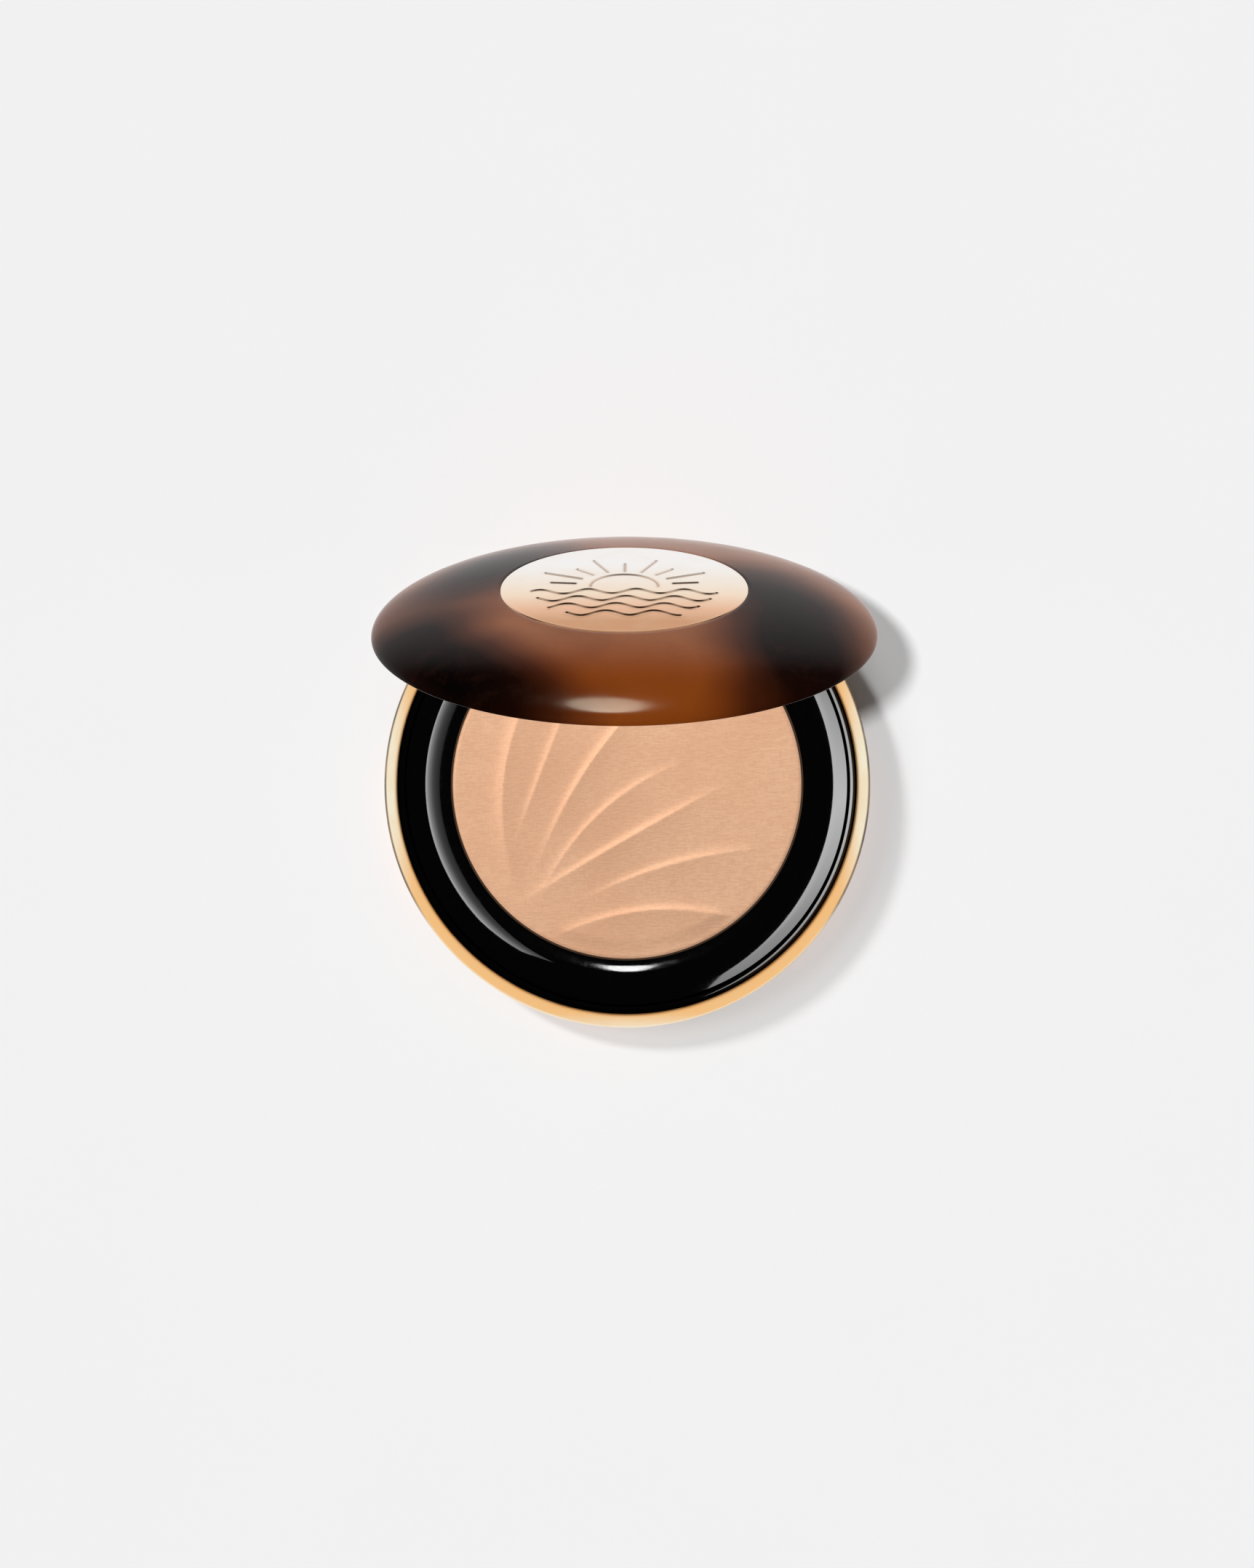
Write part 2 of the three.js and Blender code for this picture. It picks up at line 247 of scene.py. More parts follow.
def disc_grid(count):
    """A square grid squeezed onto the unit disc, so the edge is a clean circle."""
    side = np.linspace(-1, 1, count)
    a, b = np.meshgrid(side, side)
    wide = np.abs(a) > np.abs(b)
    safe_a, safe_b = np.where(a == 0, 1, a), np.where(b == 0, 1, b)
    radius = np.where(wide, a, b)
    angle = np.where(wide, math.pi / 4 * b / safe_a, math.pi / 2 - math.pi / 4 * a / safe_b)
    angle = np.where((a == 0) & (b == 0), 0, angle)
    return radius * np.cos(angle), radius * np.sin(angle)


def relief_disc(name, radius, height_at, side, count):
    """A disc whose top follows height_at(x, y); side lists the corners from its edge down to
    the axis."""
    x, y = disc_grid(count)
    x, y = x * radius, y * radius
    top = np.stack([x, y, height_at(x, y)], axis=-1).reshape(-1, 3) * MM
    index = np.arange(count * count).reshape(count, count)
    edge = np.concatenate([index[0, :-1], index[:-1, -1], index[-1, :0:-1], index[:0:-1, 0]])
    angles = np.arctan2(top[edge, 1], top[edge, 0])
    verts = [top]
    faces = np.stack([index[:-1, :-1], index[:-1, 1:], index[1:, 1:], index[1:, :-1]], -1)
    faces = [list(map(int, f)) for f in faces.reshape(-1, 4)]
    above, start = edge, len(top)
    for r, z in side:
        ring = np.stack([r * np.cos(angles), r * np.sin(angles), np.full(len(edge), z)], -1) * MM
        verts.append(ring)
        below = np.arange(start, start + len(edge))
        for k in range(len(edge)):
            n = (k + 1) % len(edge)
            faces.append([int(above[n]), int(above[k]), int(below[k]), int(below[n])])
        above, start = below, start + len(edge)
    faces.append([int(v) for v in above[::-1]])
    mesh = bpy.data.meshes.new(name)
    mesh.from_pydata(np.concatenate(verts).tolist(), [], faces)
    mesh.validate()
    bm = bmesh.new()
    bm.from_mesh(mesh)
    bpy.data.meshes.remove(mesh)
    return from_bmesh(name, bm)


# ---- node helpers ----


def fill_ramp(node, stops):
    """Sets a colour ramp's stops of (position, colour)."""
    elements = node.color_ramp.elements
    while len(elements) < len(stops):
        elements.new(0.5)
    for element, (at, colour) in zip(elements, stops):
        element.position = at
        element.color = (*colour, 1)


def grey(value):
    return (value, value, value)


class Paint:
    """A small wrapper that writes a procedural Principled material."""

    def __init__(self, name, **shader):
        self.material = bpy.data.materials.new(name)
        self.material.use_nodes = True
        self.nodes = self.material.node_tree.nodes
        self.links = self.material.node_tree.links
        self.shader = self.nodes["Principled BSDF"]
        for key, value in shader.items():
            self.shader.inputs[key.replace("_", " ")].default_value = value
        self.place = self.add("ShaderNodeTexCoord").outputs["Object"]

    def add(self, kind, **settings):
        node = self.nodes.new(kind)
        for key, value in settings.items():
            setattr(node, key, value)
        return node

    def wire(self, source, target):
        self.links.new(source, target)

    def set(self, socket, value):
        if isinstance(value, bpy.types.NodeSocket):
            self.wire(value, socket)
        else:
            socket.default_value = value

    def maths(self, operation, *values, clamp=False):
        node = self.add("ShaderNodeMath", operation=operation, use_clamp=clamp)
        for socket, value in zip(node.inputs, values):
            self.set(socket, value)
        return node.outputs[0]

    def scaled(self, source, scale):
        node = self.add("ShaderNodeMapping")
        self.wire(source, node.inputs["Vector"])
        node.inputs["Scale"].default_value = scale
        return node.outputs[0]

    def noise(self, source, scale, detail=2, roughness=0.5, output="Fac"):
        node = self.add("ShaderNodeTexNoise")
        self.wire(source, node.inputs["Vector"])
        node.inputs["Scale"].default_value = scale
        node.inputs["Detail"].default_value = detail
        node.inputs["Roughness"].default_value = roughness
        return node.outputs[output]

    def ramp(self, source, *stops):
        node = self.add("ShaderNodeValToRGB")
        fill_ramp(node, stops)
        self.wire(source, node.inputs["Fac"])
        return node.outputs["Color"]

    def span(self, source, low, high, out_low=0.0, out_high=1.0, smooth=True):
        node = self.add("ShaderNodeMapRange")
        node.interpolation_type = "SMOOTHSTEP" if smooth else "LINEAR"
        self.wire(source, node.inputs["Value"])
        for key, value in zip(("From Min", "From Max", "To Min", "To Max"),
                              (low, high, out_low, out_high)):
            node.inputs[key].default_value = value
        return node.outputs["Result"]

    def mix(self, share, first, second, blend="MIX"):
        node = self.add("ShaderNodeMix", data_type="RGBA", blend_type=blend)
        self.set(node.inputs["Factor"], share)
        for key, value in (("A", first), ("B", second)):
            socket = [s for s in node.inputs if s.name == key and s.type == "RGBA"][0]
            if isinstance(value, tuple):
                value = (*value, 1)
            self.set(socket, value)
        return [s for s in node.outputs if s.type == "RGBA"][0]

    def colour(self, value):
        self.set(self.shader.inputs["Base Color"], value)

    def roughness(self, value):
        self.set(self.shader.inputs["Roughness"], value)

    def bump(self, height, strength, distance):
        node = self.add("ShaderNodeBump")
        node.inputs["Strength"].default_value = strength
        node.inputs["Distance"].default_value = distance
        self.wire(height, node.inputs["Height"])
        self.wire(node.outputs["Normal"], self.shader.inputs["Normal"])


# ---- materials ----

GOLD = (1.0, 0.58, 0.235)
# paler gold that the band's painted highlights and painted reflections are mixed towards
PAINTED_HIGHLIGHT_GOLD = (1.0, 0.93, 0.72)


def tortoiseshell(name, patches):
    """Satin brown plastic with soft dark clouds, milkier away from the front edge and deeper amber
    at
    the front edge: partly its own tone and partly a painted reflection of the table. Each patch is
    (x, y, radius x, radius y, turn in degrees, depth) in millimetres in the part's frame."""
    wander = 9 * MM               # how far the clouds' outlines stray
    paint = Paint(name, IOR=1.14)
    drift = paint.noise(paint.place, 34, detail=1.5, output="Color")
    centred = paint.add("ShaderNodeVectorMath", operation="SUBTRACT")
    paint.wire(drift, centred.inputs[0])
    centred.inputs[1].default_value = (0.5, 0.5, 0.5)
    shift = paint.add("ShaderNodeVectorMath", operation="SCALE")
    paint.wire(centred.outputs[0], shift.inputs[0])
    shift.inputs["Scale"].default_value = wander
    moved = paint.add("ShaderNodeVectorMath", operation="ADD")
    paint.wire(paint.place, moved.inputs[0])
    paint.wire(shift.outputs[0], moved.inputs[1])
    light = None
    for x, y, rx, ry, turn, depth in patches:
        local = paint.add("ShaderNodeMapping", vector_type="TEXTURE")
        paint.wire(moved.outputs[0], local.inputs["Vector"])
        local.inputs["Location"].default_value = (x * MM, y * MM, 0)
        local.inputs["Rotation"].default_value = (0, 0, math.radians(turn))
        local.inputs["Scale"].default_value = (rx * MM, ry * MM, 1)
        length = paint.add("ShaderNodeVectorMath", operation="LENGTH")
        paint.wire(local.outputs[0], length.inputs[0])
        clear = paint.span(length.outputs["Value"], 0.15, 1.65, 1 - depth, 1)
        light = clear if light is None else paint.maths("MULTIPLY", light, clear)
    clouds = paint.noise(moved.outputs[0], 42, detail=2, roughness=0.5)
    glow = paint.maths("ADD", light, paint.span(clouds, 0.3, 0.7, -0.10, 0.08), clamp=True)
    # the milky tone is partly the plastic's own and partly a painted reflection of the table
    milky_tone_and_sheen = paint.ramp(glow, (0.0, (0.0045, 0.0018, 0.0020)), (0.22, (0.017, 0.007, 0.006)),
                       (0.50, (0.105, 0.036, 0.021)), (0.78, (0.28, 0.098, 0.047)),
                       (1.0, (0.46, 0.170, 0.078)))
    amber = paint.ramp(glow, (0.0, (0.0022, 0.0012, 0.0010)), (0.22, (0.014, 0.003, 0.001)),
                       (0.50, (0.085, 0.018, 0.005)), (0.78, (0.23, 0.048, 0.007)),
                       (1.0, (0.36, 0.078, 0.009)))
    parts = paint.add("ShaderNodeSeparateXYZ")
    paint.wire(paint.place, parts.inputs[0])
    # deeper amber towards the front edge, where the painted reflection is left out
    front = paint.span(parts.outputs["Y"], -0.016, -0.033)
    tone = paint.mix(front, milky_tone_and_sheen, amber)
    fleck = paint.noise(moved.outputs[0], 300, detail=4, roughness=0.65)
    paint.colour(paint.mix(paint.span(fleck, 0.45, 0.8, 0, 0.12), tone, (0.12, 0.032, 0.010)))
    paint.roughness(paint.span(fleck, 0.3, 0.8, 0.13, 0.18))
    ripple = paint.noise(paint.place, 60, detail=1)
    paint.bump(ripple, 0.05, 0.0003)
    return paint.material


def polished_gold():
    """Deep gold with painted highlights, paler towards the two sides, the very front and the outer
    edge, with painted shade along the inner edge and a fine painted dark line on the outer edge at
    the sides."""
    paint = Paint("polished_gold", Metallic=1)
    parts = paint.add("ShaderNodeSeparateXYZ")
    paint.wire(paint.place, parts.inputs[0])
    side = paint.maths("DIVIDE", paint.maths("ABSOLUTE", parts.outputs["X"]), CASE_R * MM)
    # painted highlight: paler towards the two sides
    tone = paint.mix(paint.span(side, 0.86, 0.985), GOLD, PAINTED_HIGHLIGHT_GOLD)
    flat = paint.add("ShaderNodeVectorMath", operation="LENGTH")
    paint.wire(paint.scaled(paint.place, (1, 1, 0)), flat.inputs[0])
    across = paint.span(flat.outputs["Value"], 0.0368, CASE_R * MM, smooth=False)
    # painted highlight at the very front
    front = paint.span(parts.outputs["Y"], -0.93 * CASE_R * MM, -0.995 * CASE_R * MM)
    tone = paint.mix(paint.maths("MULTIPLY", front, 0.6), tone, PAINTED_HIGHLIGHT_GOLD)
    # painted highlight towards the outer edge
    rim = paint.span(across, 0.80, 0.94)
    tone = paint.mix(paint.maths("MULTIPLY", rim, 0.7), tone, PAINTED_HIGHLIGHT_GOLD)
    # painted shade: a fine dark line on the outer edge at the sides
    shade = paint.maths("MULTIPLY", paint.span(across, 0.76, 0.90), paint.span(side, 0.78, 0.92))
    tone = paint.mix(shade, tone, (0.10, 0.06, 0.03))
    # painted shade along the inner edge
    edge = paint.ramp(across, (0.0, (0.50, 0.38, 0.27)), (0.10, (0.74, 0.61, 0.47)),
                      (0.24, (1, 1, 1)))
    tone = paint.mix(1.0, tone, edge, blend="MULTIPLY")
    haze = paint.noise(paint.place, 220, detail=4, roughness=0.6)
    paint.colour(paint.mix(paint.span(haze, 0.35, 0.7, 0, 0.25), tone, (0.96, 0.62, 0.30)))
    paint.roughness(paint.span(haze, 0.3, 0.75, 0.10, 0.16))
    paint.bump(haze, 0.02, 0.00002)
    return paint.material


def medallion_gold():
    """Rose gold with a painted reflection, near white on the hinge side and deepening to copper at
    the front, and painted shade in the engraving.
    """
    paint = Paint("medallion_gold", Metallic=1)
    parts = paint.add("ShaderNodeSeparateXYZ")
    paint.wire(paint.place, parts.inputs[0])
    # painted reflection: near white on the hinge side, deepening to copper at the front
    fade = paint.span(parts.outputs["Y"], 0.016, -0.017, smooth=False)
    tone = paint.ramp(fade, (0.16, (1.0, 0.995, 0.98)), (0.40, (1.0, 0.90, 0.78)),
                      (0.57, (1.0, 0.79, 0.59)), (0.74, (0.91, 0.53, 0.32)),
                      (0.92, (0.66, 0.31, 0.13)))
    haze = paint.noise(paint.place, 260, detail=4, roughness=0.6)
    tone = paint.mix(paint.span(haze, 0.35, 0.75, 0, 0.12), tone, (0.92, 0.66, 0.44))
    engraved = paint.add("ShaderNodeAttribute", attribute_name="engraved").outputs["Fac"]
    # painted shade in the engraved lines
    line = paint.maths("MULTIPLY", engraved, 0.75)
    paint.colour(paint.mix(line, tone, (0.42, 0.19, 0.07)))
    paint.roughness(paint.span(haze, 0.3, 0.75, 0.12, 0.18))
    paint.bump(haze, 0.02, 0.00003)
    return paint.material


def gloss_black():
    """Black lacquer-like plastic with a trace of orange peel and dust."""
    roughness = 0.045
    paint = Paint("gloss_black", IOR=1.6)
    peel = paint.noise(paint.place, 160, detail=2)
    dust = paint.noise(paint.place, 1400, detail=3, roughness=0.7)
    paint.colour(paint.mix(paint.span(dust, 0.6, 0.8, 0, 0.4), (0.0022, 0.0022, 0.0026),
                           (0.007, 0.007, 0.008)))
    paint.roughness(paint.span(dust, 0.35, 0.75, roughness * 0.8, roughness * 1.5))
    paint.bump(peel, 0.03, 0.00003)
    return paint.material


def pressed_powder_paint():
    """Matte peach powder with the faint cloth grain that the press leaves."""
    paint = Paint("pressed_powder", IOR=1.35, Roughness=0.9)
    across = paint.noise(paint.scaled(paint.place, (750, 3600, 750)), 1, detail=2, roughness=0.6)
    along = paint.noise(paint.scaled(paint.place, (3600, 1000, 1000)), 1, detail=2, roughness=0.6)
    weave = paint.maths("ADD", across, paint.maths("MULTIPLY", along, 0.5))
    grain = paint.noise(paint.place, 7000, detail=3, roughness=0.7)
    clouds = paint.noise(paint.place, 70, detail=2)
    tone = paint.mix(paint.span(clouds, 0.3, 0.7), (0.785, 0.445, 0.27), (0.835, 0.50, 0.312))
    tone = paint.mix(paint.span(weave, 0.55, 0.95, 0, 0.5), tone, (0.68, 0.365, 0.22))
    tone = paint.mix(paint.span(grain, 0.5, 0.8, 0, 0.35), tone, (0.92, 0.64, 0.45))
    paint.colour(tone)
    height = paint.maths("ADD", paint.maths("MULTIPLY", weave, 0.7),
                         paint.maths("MULTIPLY", grain, 0.5))
    paint.bump(height, 0.5, 0.00008)
    return paint.material


def metal(name, colour, roughness, brushed):
    """Plain metal with a fine grain; brushed squeezes the grain along each axis."""
    paint = Paint(name, Metallic=1)
    grain = paint.noise(paint.scaled(paint.place, brushed), 700, detail=4, roughness=0.65)
    paint.colour(paint.mix(grain, colour, tuple(c * 0.8 for c in colour)))
    paint.roughness(paint.span(grain, 0.3, 0.7, roughness * 0.75, roughness * 1.3))
    paint.bump(grain, 0.12, 0.00005)
    return paint.material


def silvered_glass():
    """A mirror with the faintest smears."""
    paint = Paint("silvered_glass", Metallic=1)
    smear = paint.noise(paint.scaled(paint.place, (1, 2.5, 1)), 60, detail=4, roughness=0.6)
    paint.colour(paint.mix(paint.span(smear, 0.4, 0.8, 0, 0.3), (0.90, 0.93, 0.93),
                           (0.86, 0.89, 0.90)))
    paint.roughness(paint.span(smear, 0.45, 0.8, 0.012, 0.035))
    return paint.material


def film(name, colour, roughness=0.55):
    """Paper-like label or glue film with fine fibres."""
    paint = Paint(name)
    fibre = paint.noise(paint.scaled(paint.place, (1, 3, 1)), 900, detail=4, roughness=0.7)
    paint.colour(paint.mix(fibre, colour, tuple(c * 0.86 for c in colour)))
    paint.roughness(paint.span(fibre, 0.3, 0.7, roughness * 0.85, roughness * 1.15))
    paint.bump(fibre, 0.15, 0.00004)
    return paint.material


# ---- placing ----

# Lid pieces are built shut and turned to the rest pose.
lid_swing = (Matrix.Translation((0, HINGE_Y * MM, HINGE_Z * MM))
             @ Matrix.Rotation(-LID_OPEN, 4, "X")
             @ Matrix.Translation((0, -HINGE_Y * MM, -HINGE_Z * MM)))

pieces = {}


def fit(piece, body, node, material):
    """Gives a finished piece its material, its body and the CAD node it stands for."""
    pieces[node] = piece
    piece.data.materials.clear()
    piece.data.materials.append(material)
    if body == "lid":
        piece.matrix_world = lid_swing
    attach(piece, body)
    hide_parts(node)
    return piece


# ---- base ----


def make_bottom_shell():
    """The bowl with a quarter-ellipse side and a recess for the label, and the label."""
    foot, top_r, top_z, wall = 27, 37.8, 3.8, 1.2
    outside = [[foot + (top_r - foot) * math.cos(a), top_z + top_z * math.sin(a)]
               for a in np.radians(np.linspace(-90, 0, 40))]
    inside = [[foot + (top_r - foot - wall) * math.cos(a),
               top_z + (top_z - wall) * math.sin(a)]
              for a in np.radians(np.linspace(0, -90, 12))]
    recess = rounded([[0, 0.5], [18.3, 0.5], [18.3, 0], [foot, 0]], [0, 0.1, 0.15, 0])
    shell = turned("bottom_shell_fine", recess + outside[1:] + inside + [[0, wall]])
    patches = [(-16, -22, 15, 10, 20, 1), (24, 8, 13, 17, -25, 0.95), (2, 30, 16, 8, 5, 0.9),
               (-30, 12, 8, 12, 30, 0.8), (12, -31, 12, 6, 0, 0.9), (-2, 2, 9, 7, 50, 0.6)]
    fit(shell, "base", "bottom_shell", tortoiseshell("tortoiseshell_base", patches))
    label = turned("bottom_label_fine", rounded(
        [[0, 0.15], [18, 0.15], [18, 0.4], [0, 0.4]], [0, 0.05, 0.05, 0]))
    fit(label, "base", "bottom_label", film("label_film", (0.62, 0.50, 0.34), 0.45))


def lid_scoop():
    """The hollow behind the hinge axis that the lid's back edge swings through."""
    bm = bmesh.new()
    bmesh.ops.create_uvsphere(bm, u_segments=96, v_segments=48, radius=1)
    bm.transform(Matrix.Translation((0, HINGE_Y * MM, HINGE_Z * MM))
                 @ Matrix.Diagonal((19 * MM, 4.15 * MM, 4.15 * MM, 1))
                 @ Matrix.Rotation(math.pi / 2, 4, "Y"))
    scoop = from_bmesh("scoop", bm)
    return boolean(scoop, block("behind", (-WIDE, HINGE_Y, 0), (WIDE, WIDE + HINGE_Y, WIDE)),
                   "INTERSECT")


def make_gold_band():
    """A slanting face all round, so it mirrors the table, over a rounded belly."""
    last_tilt = 58
    top = arc((36.86, 8.70), 0.13, 180, 44, 12)
    face = sloped(top[-1], [(top[-1][0], -48.5), (37.6, -50.5), (38.3, -54),
                            (38.72, -last_tilt)])
    belly = 1.75
    centre = (face[-1][0] - belly * math.sin(math.radians(last_tilt)),
              face[-1][1] - belly * math.cos(math.radians(last_tilt)))
    side = arc(centre, belly, 90 - last_tilt, 0, 10)[1:]
    widest_r, widest_z = side[-1]
    foot_r, foot_z = 36.85, 4.1
    under = [[foot_r + (widest_r - foot_r) * math.cos(a),
              widest_z - (widest_z - foot_z) * math.sin(a)]
             for a in np.radians(np.linspace(0, 88, 12))][1:]
    outline = [[BAND_INNER_R, 4.2], [BAND_INNER_R, 8.2]] + top + face[1:] + side + under
    band = turned("gold_band_fine", outline, FINE_ROUND)
    notch = block("notch", (-NOTCH_HALF, HINGE_Y - 3, NOTCH_Z), (NOTCH_HALF, WIDE, WIDE))
    cut(band, lid_scoop(), notch)
    fit(band, "base", "gold_band", polished_gold())


def make_housing(black):
    """The tub with its sloping lip, cut for the lid's swing, and the two base knuckles."""
    lip = sloped((HOUSING_INNER_R, 8.85), [(HOUSING_INNER_R, -3), (36.1, -15)])
    lip.append([HOUSING_R, lip[-1][1] - 0.55])
    outline = [[0, 3.3], [33.2, 3.3], [36.2, 4.3], [HOUSING_R, 4.8]] + lip[::-1] + [
        [HOUSING_INNER_R, 6.3], [33.5, 6.3], [33.5, 4.1], [0, 4.1]]
    housing = turned("inner_housing_fine", outline)
    notch = block("notch", (-NOTCH_HALF, NOTCH_Y, NOTCH_Z), (NOTCH_HALF, WIDE, WIDE))
    cut(housing, notch, lid_scoop())
    for side in (-1, 1):
        x0, x1 = sorted((side * KNUCKLE_IN, side * KNUCKLE_OUT))
        leg = block("leg", (x0, HINGE_Y - BARREL_R, 5.3), (x1, HINGE_Y, HINGE_Z))
        tub = turned("tub", [[0, 0], [HOUSING_R, 0], [HOUSING_R, 12], [0, 12]])
        boolean(leg, tub, "INTERSECT")
        join(housing, leg, rod("knuckle", BARREL_R, x0, x1))
        cut(housing, rod("bore", PIN_HOLE_R, side * KNUCKLE_OUT - 6, side * KNUCKLE_OUT + 6,
                         edge=0))
    fit(housing, "base", "inner_housing", black)


def make_bezel(black):
    """The crowned ring: a chamfer and a level shelf round the powder, a hollow slope up to the
    crest and a gentler fall outside it, with crisp creases between them."""
    chamfer = [[27.95, 7.36], [27.95, 7.86], [28.2, 8.22]]
    shelf = sloped(chamfer[-1], [(28.2, 2.0), (29.1, 5.0), (30.0, 7.3)])
    slope = sloped(shelf[-1], [(30.0, 21.5), (30.65, 26.5), (31.15, 30.2), (32.2, 35)])
    fall = sloped(slope[-1], [(32.2, 0), (33.0, -4.6), (33.55, -8), (34.0, -11.5),
                              (35.15, -14)])
    edge_z = fall[-1][1]
    wall = [[28.6, 7.36], [28.6, 5.4], [29.4, 5.4], [29.4, BEZEL_SEAT], [BEZEL_R, BEZEL_SEAT]]
    shoulder = [[BEZEL_R, edge_z - 0.25], [BEZEL_R - 0.05, edge_z - 0.08]]
    outline = wall + shoulder + fall[::-1] + slope[-2::-1] + shelf[-2::-1] + chamfer[-2::-1]
    crisp = math.radians(9)
    ring = turned("bezel_ring_fine", outline, FINE_ROUND, crisp)
    half = NOTCH_HALF + HINGE_PLAY
    cut(ring, block("notch", (-half, NOTCH_Y - 0.1, 0), (half, WIDE, WIDE)), sharp=crisp)
    fit(ring, "base", "bezel_ring", black)


def fan_of_folds():
    """The powder's own pattern: drapes fanned out from the lower left, like gathered cloth.
    Each is (centre x, y, heading in degrees, half length, bend, height, steep and gentle width)."""
    folds = []
    for k in range(7):
        heading = 4 + 13 * k
        a = math.radians(heading)
        reach = 27 + 3 * math.sin(1.9 * k)
        folds.append((reach * math.cos(a) - 23, reach * math.sin(a) - 22, heading,
                      20 - 3 * (k % 2), 0.006 * (k % 3) - 0.013, 0.78 - 0.12 * (k % 2),
                      0.8, 5.2))
    return folds


def fold(x, y, centre_x, centre_y, heading, half, bend, height, steep, gentle):
    """One draped fold along a parabola: steep on its left, gentle on its right, fading out
    towards both ends."""
    a = math.radians(heading)
    u = (x - centre_x) * math.cos(a) + (y - centre_y) * math.sin(a)
    v = (y - centre_y) * math.cos(a) - (x - centre_x) * math.sin(a)
    offset = (v - bend * u * u) / np.sqrt(1 + (2 * bend * u) ** 2)
    fade = np.clip(1 - (u / half) ** 2, 0, 1) ** 1.5
    side = np.where(offset > 0, (np.abs(offset) / steep) ** 1.2,
                    (np.abs(offset) / gentle) ** 1.05)
    return height * fade * np.exp(-side)


def powder_height(x, y):
    """Height of the cake's top: the folds run softly together, over a faint swell, and die out
    towards a flat rim that drops at the very edge."""
    blend = 9                     # higher keeps the folds more apart where they meet
    total = np.ones(x.shape)
    for numbers in fan_of_folds():
        total = total + np.exp(blend * fold(x, y, *numbers)) - 1
    height = np.log(total) / blend
    swell = 0.10 * np.sin(x / 9 + 0.6) * np.cos(y / 11 - 0.4)
    radius = np.hypot(x, y)
    flat = np.clip((POWDER_R - 0.2 - radius) / 3.0, 0, 1)
    flat = flat * flat * (3 - 2 * flat)
    rim = np.clip((radius - POWDER_R + 0.4) / 0.3, 0, 1)
    return POWDER_TOP + (height + swell) * flat - 0.1 * rim ** 2


def make_powder():
    """The powder cake and the thin pan round it."""
    cake = relief_disc("pressed_powder_fine", POWDER_R, powder_height,
                       [[POWDER_R, 7.2], [POWDER_R, 5.1]], 300)
    fit(cake, "base", "pressed_powder", pressed_powder_paint())
    inner = PAN_R - 0.27
    wall = rounded([[0, 4.6], [PAN_R, 4.6], [PAN_R, 7.3], [inner, 7.3], [inner, 4.95],
                    [0, 4.95]], [0, 0.4, 0.08, 0.08, 0.2, 0])
    pan = turned("powder_pan_fine", wall)
    fit(pan, "base", "powder_pan", metal("pan_metal", (0.62, 0.60, 0.57), 0.35, (1, 1, 6)))


# ---- lid ----


def dome_height(radius, height=DOME_HEIGHT, outer=CASE_R):
    """Height of the pebble-shaped dome over the lid's widest plane."""
    return height * (1 - (radius / outer) ** DOME_POWER) ** (1 / DOME_POWER)


def dome(outer, height, inner, steps):
    """Corners from the dome's edge in to the radius inner, closest together at the edge."""
    shares = np.linspace(0, 1, steps + 1) ** 2
    return [[outer - (outer - inner) * s,
             LID_Z + dome_height(outer - (outer - inner) * s, height, outer)] for s in shares]


def back_relief():
    """The slanting wedge that is cut off the lid's back so it clears the base when open."""
    bm = bmesh.new()
    bmesh.ops.create_cube(bm, size=1)
    bm.transform(Matrix.Translation((0, HINGE_Y * MM, HINGE_Z * MM))
                 @ Matrix.Rotation(BACK_TILT, 4, "X")
                 @ Matrix.Translation((0, 30 * MM, -30 * MM))
                 @ Matrix.Diagonal((33.2 * MM, 60 * MM, 60 * MM, 1)))
    wedge = from_bmesh("wedge", bm)
    return boolean(wedge, block("behind", (-WIDE, HINGE_Y, 0), (WIDE, WIDE + HINGE_Y, WIDE)),
                   "INTERSECT")


def make_lid_shell():
    """The thin domed shell with the seat for the medallion."""
    seat_r = MEDALLION_R + 0.04
    outside = dome(CASE_R, DOME_HEIGHT, seat_r + 0.06, 60)
    seat_z = outside[-1][1]
    rim = [[CASE_R - 0.8 * (1 - math.cos(a)), LID_Z - 0.3 * math.sin(a)]
           for a in np.radians(np.linspace(90, 8, 12))]
    inside = dome(LID_INNER_R, 5.6, 22, 16)[::-1]
    outline = ([[0, LID_Z + 4.2]] + inside + [[LID_INNER_R, LID_Z - 0.2],
               [LID_INNER_R + 0.1, LID_Z - 0.3]] + rim + outside
               + [[seat_r + 0.02, seat_z - 0.02], [seat_r, seat_z - 0.08],
                  [seat_r, LID_Z + MEDALLION_SEAT], [0, LID_Z + MEDALLION_SEAT]])
    shell = turned("lid_shell_fine", outline, FINE_ROUND)
    cut(shell, back_relief(), rod("pocket", BARREL_R + HINGE_PLAY, -NOTCH_HALF, NOTCH_HALF, edge=0))
    patches = [(-24, -26, 18, 8, -40, 1), (28, -17, 12, 20, 10, 0.97),
               (-34, -12, 10, 7, 0, 0.75), (-30, -2, 14, 10, 10, 0.3),
               (-20, 13, 16, 9, 40, 0.75), (24, -31, 10, 6, 35, 0.4),
               (20, 2, 9, 12, 20, 0.6)]
    fit(shell, "lid", "lid_shell", tortoiseshell("tortoiseshell_lid", patches))


